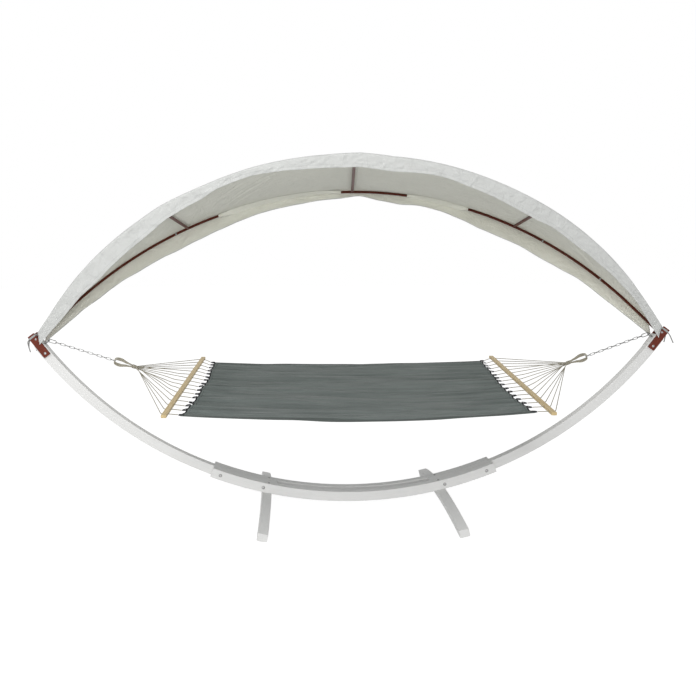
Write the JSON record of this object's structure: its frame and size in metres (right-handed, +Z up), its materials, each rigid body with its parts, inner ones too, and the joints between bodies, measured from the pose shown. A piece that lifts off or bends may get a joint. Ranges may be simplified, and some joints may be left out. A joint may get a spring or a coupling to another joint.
{
  "type": "hammock with stand",
  "caption": "Fabric hammock with wooden spreader bars, hung on chains between the raised tips of a curved wooden stand, under a bowed fabric sun canopy.",
  "frame": {"origin": "floor level under the middle of the stand", "axes": "+X along the hammock to the right, +Y to the rear, +Z up"},
  "size_m": [4.1474, 1.2226, 2.2053],
  "materials": {
    "painted_wood": "white paint, satin",
    "red_brown_wood": "red-brown stain",
    "pale_wood": "pale, clear varnish",
    "zinc_steel": "zinc plated",
    "rope": "twisted cotton cord",
    "bed_fabric": "grey-green woven cotton",
    "canopy_fabric": "off-white woven polyester",
    "strap": "pale grey webbing"
  },
  "bodies": {
    "stand": {"rail_front": "painted_wood", "rail_rear": "painted_wood", "arm_left": "painted_wood", "arm_right": "painted_wood", "leg_left": "painted_wood", "leg_right": "painted_wood", "end_plate_front_left": "red_brown_wood", "end_plate_front_right": "red_brown_wood", "end_plate_rear_left": "red_brown_wood", "end_plate_rear_right": "red_brown_wood", "canopy_lath_front": "red_brown_wood", "canopy_lath_rear": "red_brown_wood", "crossbar_left": "red_brown_wood", "crossbar_centre": "red_brown_wood", "crossbar_right": "red_brown_wood", "splice_bolts": "zinc_steel", "splice_washers": "zinc_steel", "splice_nuts": "zinc_steel", "leg_bolts": "zinc_steel", "leg_washers": "zinc_steel", "leg_nuts": "zinc_steel", "plate_bolts": "zinc_steel", "plate_washers": "zinc_steel", "plate_nuts": "zinc_steel", "canopy_bolts": "zinc_steel", "canopy_washers": "zinc_steel", "canopy_nuts": "zinc_steel", "eye_bolt_left": "zinc_steel", "eye_bolt_right": "zinc_steel", "eye_bolt_washers": "zinc_steel", "eye_bolt_nuts": "zinc_steel", "crossbar_screws": "zinc_steel", "canopy_top": "canopy_fabric", "valance_front": "canopy_fabric", "valance_rear": "canopy_fabric", "cover_ties": "strap", "tie_strap_left": "strap", "tie_strap_right": "strap", "tie_tails_left": "strap", "tie_tails_right": "strap"},
    "hammock": {"snap_hook_left": "zinc_steel", "chain_left": "zinc_steel", "rope_eye_left": "rope", "whipping_left": "rope", "harness_cords_left": "rope", "spreader_bar_left": "pale_wood", "snap_hook_right": "zinc_steel", "chain_right": "zinc_steel", "rope_eye_right": "rope", "whipping_right": "rope", "harness_cords_right": "rope", "spreader_bar_right": "pale_wood", "snap_gate_pins": "zinc_steel", "hammock_bed": "bed_fabric"},
    "gate_left": {"snap_gate_left": "zinc_steel"},
    "gate_right": {"snap_gate_right": "zinc_steel"}
  },
  "joints": [
    {"name": "hammock_swing", "type": "hinge", "parent": "stand", "child": "hammock", "pos_m": [0, 0, 1.11471], "axis": [1, 0, 0], "range_deg": [-30, 30]},
    {"name": "gate_left_hinge", "type": "hinge", "parent": "hammock", "child": "gate_left", "pos_m": [-1.89442, 0, 1.11363], "axis": [0, -1, 0], "range_deg": [0, 25], "stiffness_Nm_per_rad": 0.2, "springref_deg": -8.59},
    {"name": "gate_right_hinge", "type": "hinge", "parent": "hammock", "child": "gate_right", "pos_m": [1.89445, 0, 1.11292], "axis": [0, 1, 0], "range_deg": [0, 25], "stiffness_Nm_per_rad": 0.2, "springref_deg": -8.59}
  ]
}
